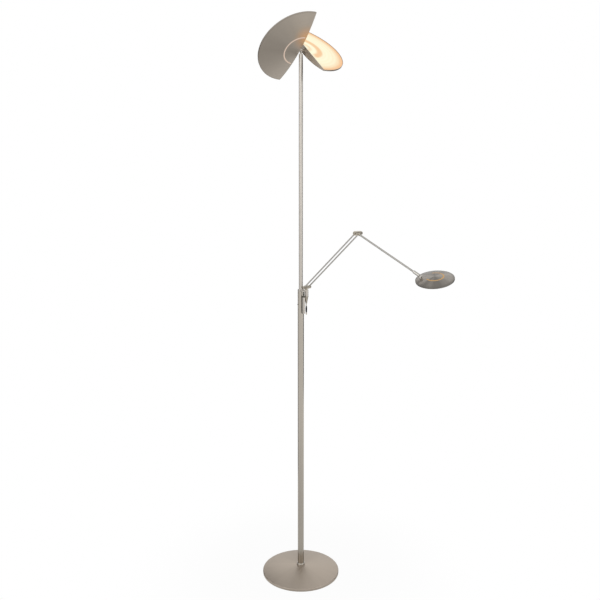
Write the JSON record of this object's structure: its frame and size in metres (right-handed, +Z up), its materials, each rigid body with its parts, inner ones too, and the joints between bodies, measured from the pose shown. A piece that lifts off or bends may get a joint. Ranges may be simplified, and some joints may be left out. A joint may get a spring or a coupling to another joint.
{
  "type": "floor lamp",
  "caption": "Floor lamp with a domed round base, a two-stage pole, two half-dish uplight heads that tilt on one axle, and a jointed reading arm with a small dished head.",
  "frame": {"origin": "On the floor, under the centre of the pole", "axes": "+Z up along the pole; -Y towards the front, the side the reading arm swings to; +X to the right seen from the front. The pose is the pictured one, with both half dishes tilted and the reading arm out to the right and forward."},
  "size_m": [0.6143, 0.4931, 1.9667],
  "materials": {
    "satin_shade": "satin nickel, warm grey, fine circular brushing",
    "satin_reading": "satin nickel, warm grey, fine circular brushing",
    "satin_base": "satin nickel, warm grey, fine circular brushing",
    "satin_pole": "satin nickel, brushed along its length",
    "polished_steel": "bright nickel, near polished",
    "dark_metal": "dark brown-black, low gloss",
    "plain_steel": "zinc-plated steel",
    "weight_iron": "raw casting, black primer",
    "black_grip": "matt black, soft",
    "pad_felt": "matt black foam pad",
    "nylon": "black nylon",
    "lit_opal": "opal diffuser, lit warm white",
    "warm_lens": "frosted lens, softly lit",
    "led_board": "white solder mask with rows of small light emitters"
  },
  "bodies": {
    "stand": {"base_cover": "satin_base", "base_weight": "weight_iron", "base_pad": "pad_felt", "cord_inlet_bush": "nylon", "tie_washer": "plain_steel", "pole_tie_bolt": "plain_steel", "pole_foot_plug": "plain_steel", "lower_pole": "satin_pole", "pole_foot_collar": "satin_pole", "pole_joint_bush": "nylon", "upper_pole": "satin_pole", "pole_cap_bracket": "satin_pole", "pole_set_screw": "satin_pole", "swivel_socket": "satin_pole", "swivel_bush": "nylon", "stick_cone": "satin_pole", "dimmer_tube": "satin_pole", "tube_hanger": "dark_metal", "dimmer_core": "nylon", "tube_standoff": "satin_pole", "head_neck": "satin_pole", "head_axle": "polished_steel", "axle_washers": "nylon", "axle_nuts": "polished_steel"},
    "left_dish": {"left_shade": "satin_shade", "left_cut_plate": "dark_metal", "left_ring_lens": "warm_lens", "left_led_board": "led_board", "left_diffuser": "lit_opal"},
    "right_dish": {"right_shade": "satin_shade", "right_cut_plate": "dark_metal", "right_ring_lens": "warm_lens", "right_led_board": "led_board", "right_diffuser": "lit_opal"},
    "arm_swivel": {"swivel_post": "satin_pole", "post_retainer": "plain_steel", "shoulder_pin": "dark_metal"},
    "shoulder_wheel": {"shoulder_knob": "polished_steel"},
    "lower_arm": {"shoulder_barrels": "polished_steel", "lower_arm_rods": "polished_steel", "elbow_barrels": "polished_steel", "elbow_pin": "dark_metal"},
    "elbow_wheel": {"elbow_knob": "dark_metal"},
    "upper_arm": {"elbow_eye": "polished_steel", "upper_arm_rod": "polished_steel"},
    "wrist": {"wrist_sleeve": "polished_steel", "tilt_pin": "polished_steel"},
    "yoke": {"head_yoke": "satin_pole", "stud_nut": "polished_steel"},
    "reading_head": {"reading_shade": "satin_reading", "reading_ring_lens": "warm_lens", "reading_led_board": "led_board", "reading_diffuser": "lit_opal"},
    "dimmer_stick": {"stick_stem": "polished_steel", "stick_grip": "black_grip"},
    "dimmer_wheel": {"dimmer_knob": "satin_pole"}
  },
  "joints": [
    {"name": "left_dish_tilt", "type": "hinge", "parent": "stand", "child": "left_dish", "pos_m": [0, 0, 1.865], "axis": [-0.8181, -0.575, 0], "range_deg": [-129, 50]},
    {"name": "right_dish_tilt", "type": "hinge", "parent": "stand", "child": "right_dish", "pos_m": [0, 0, 1.865], "axis": [0.8181, 0.575, 0], "range_deg": [-130, 49]},
    {"name": "arm_swivel_turn", "type": "hinge", "parent": "stand", "child": "arm_swivel", "pos_m": [0.0195, 0, 1.052], "axis": [0, 0, 1], "range_deg": [-10, 86]},
    {"name": "shoulder_hinge", "type": "hinge", "parent": "arm_swivel", "child": "lower_arm", "pos_m": [0.0195, 0, 1.0655], "axis": [0.6428, 0.766, 0], "range_deg": [-32, 45]},
    {"name": "shoulder_knob_turn", "type": "hinge", "parent": "arm_swivel", "child": "shoulder_wheel", "pos_m": [0.0195, 0, 1.0655], "axis": [0.6428, 0.766, 0], "range_deg": [-90, 90]},
    {"name": "elbow_hinge", "type": "hinge", "parent": "lower_arm", "child": "upper_arm", "pos_m": [0.18478, -0.13868, 1.26018], "axis": [0.6428, 0.766, 0], "range_deg": [-70, 50]},
    {"name": "elbow_knob_turn", "type": "hinge", "parent": "lower_arm", "child": "elbow_wheel", "pos_m": [0.18478, -0.13868, 1.26018], "axis": [0.6428, 0.766, 0], "range_deg": [-90, 90]},
    {"name": "wrist_roll", "type": "hinge", "parent": "upper_arm", "child": "wrist", "pos_m": [0.36801, -0.29243, 1.13406], "axis": [0.6776, -0.5686, -0.4664], "range_deg": [-60, 60]},
    {"name": "head_tilt", "type": "hinge", "parent": "wrist", "child": "yoke", "pos_m": [0.36801, -0.29243, 1.13406], "axis": [0.7295, 0.5999, 0.3285], "range_deg": [-75, 13]},
    {"name": "head_swivel", "type": "hinge", "parent": "yoke", "child": "reading_head", "pos_m": [0.36801, -0.29243, 1.13406], "axis": [-0.156, -0.3217, 0.9339], "range_deg": [-90, 90]},
    {"name": "stick_dimmer_turn", "type": "hinge", "parent": "stand", "child": "dimmer_stick", "pos_m": [0.0195, 0, 1], "axis": [0, 0, 1], "range_deg": [0, 270]},
    {"name": "tube_dimmer_turn", "type": "hinge", "parent": "stand", "child": "dimmer_wheel", "pos_m": [0.009, -0.019, 0.98], "axis": [0, 0, 1], "range_deg": [0, 270]}
  ]
}
